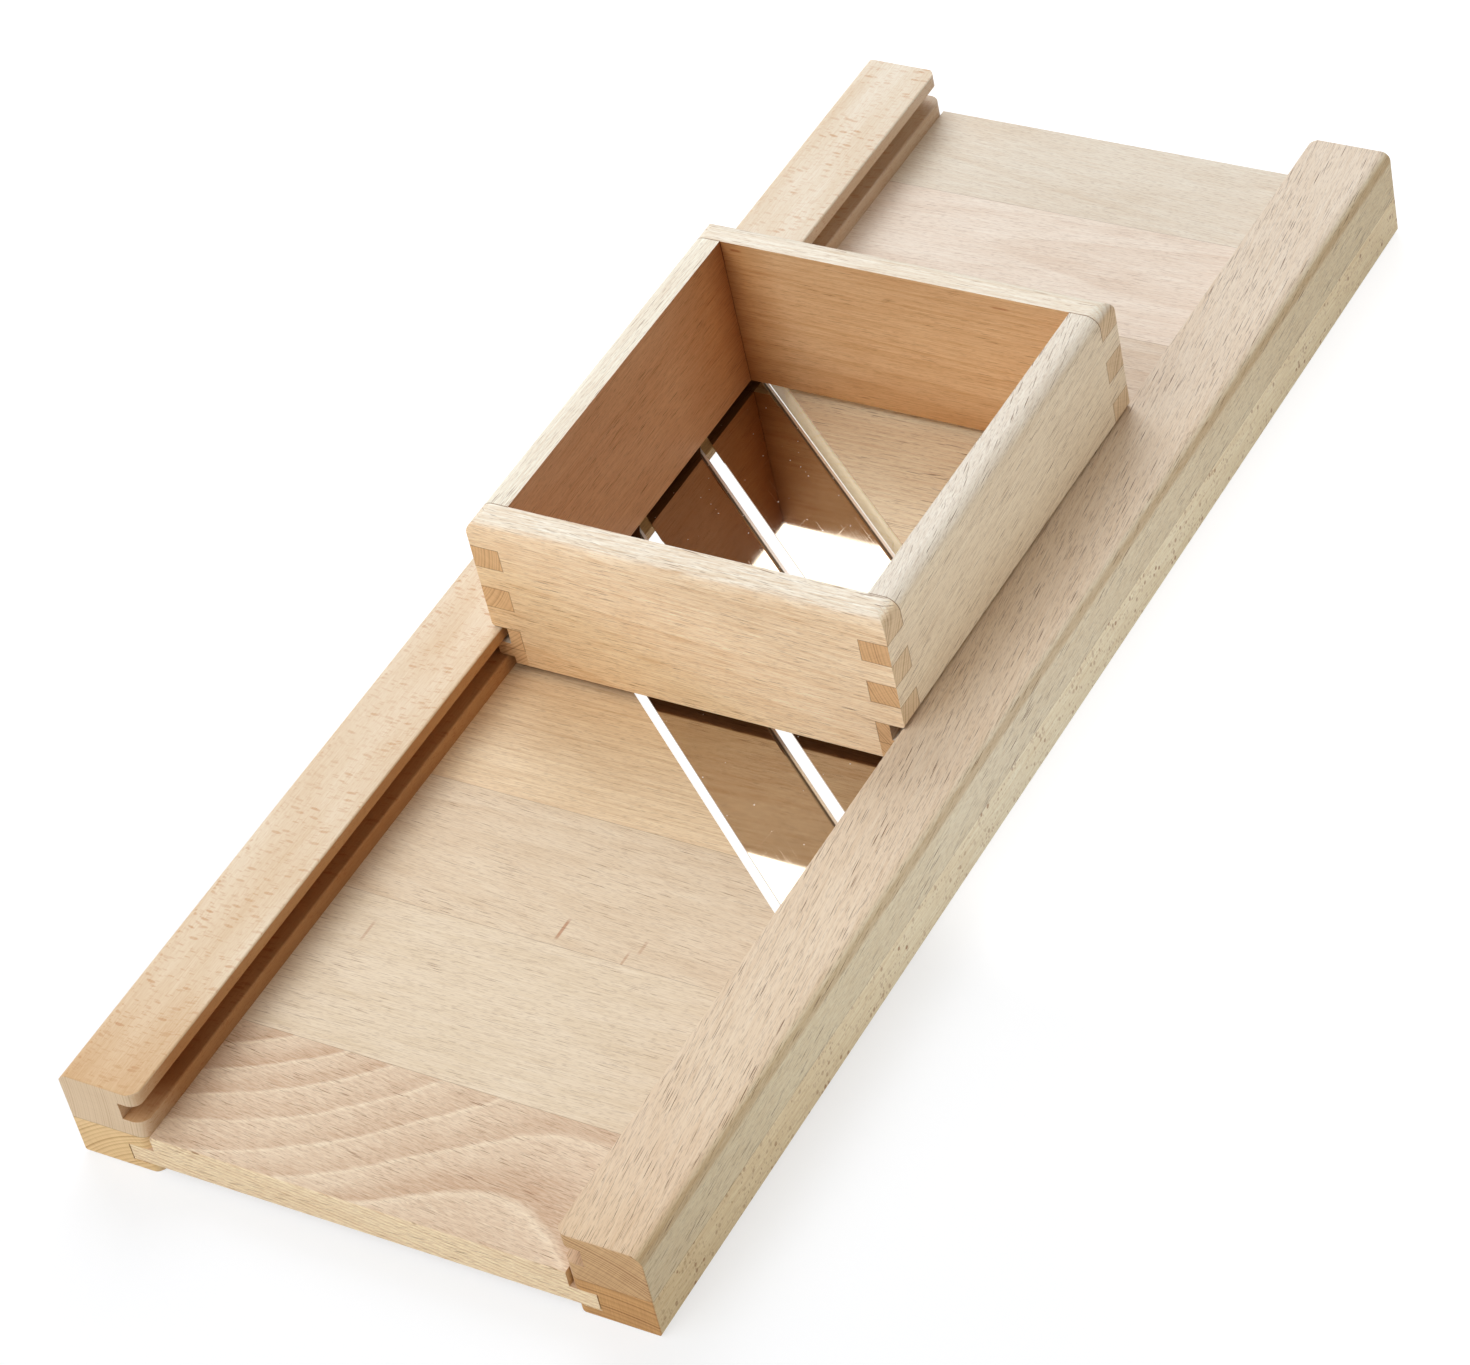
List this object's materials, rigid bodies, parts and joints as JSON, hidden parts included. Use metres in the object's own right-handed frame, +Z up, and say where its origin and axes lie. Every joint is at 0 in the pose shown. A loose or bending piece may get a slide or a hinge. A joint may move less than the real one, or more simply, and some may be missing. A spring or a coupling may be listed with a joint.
{
  "type": "cabbage cutter",
  "caption": "Wooden cabbage cutter: a board with diagonal steel blades between slotted rails, and an open finger-jointed box that slides along the rails over the blades.",
  "frame": {"origin": "under the middle of the cutter, on the surface that the base strips rest on", "axes": "+X across to the right, +Y along the rails to the far end, towards which the blades cut, +Z up"},
  "size_m": [0.236, 0.6, 0.0913],
  "materials": {
    "rail_beech": "bare sanded beech",
    "strip_beech": "bare sanded beech",
    "board_beech": "bare sanded beech",
    "box_beech": "bare sanded beech",
    "blade_steel": "polished stainless steel",
    "screw_steel": "plain steel"
  },
  "bodies": {
    "frame": {"left_rail": "rail_beech", "right_rail": "rail_beech", "left_base_strip": "strip_beech", "right_base_strip": "strip_beech", "near_stave_1": "board_beech", "near_stave_2": "board_beech", "near_stave_3": "board_beech", "near_stave_4": "board_beech", "near_stave_5": "board_beech", "far_stave_1": "board_beech", "far_stave_2": "board_beech", "far_stave_3": "board_beech", "far_stave_4": "board_beech", "far_stave_5": "board_beech", "far_blade": "blade_steel", "middle_blade": "blade_steel", "near_blade": "blade_steel", "blade_screws": "screw_steel"},
    "carriage": {"carriage_front": "box_beech", "carriage_back": "box_beech", "carriage_left_side": "box_beech", "carriage_right_side": "box_beech"}
  },
  "joints": [
    {"name": "carriage_slide", "type": "slide", "parent": "frame", "child": "carriage", "axis": [0, 1, 0], "range_m": [-0.2465, 0.1695]}
  ]
}
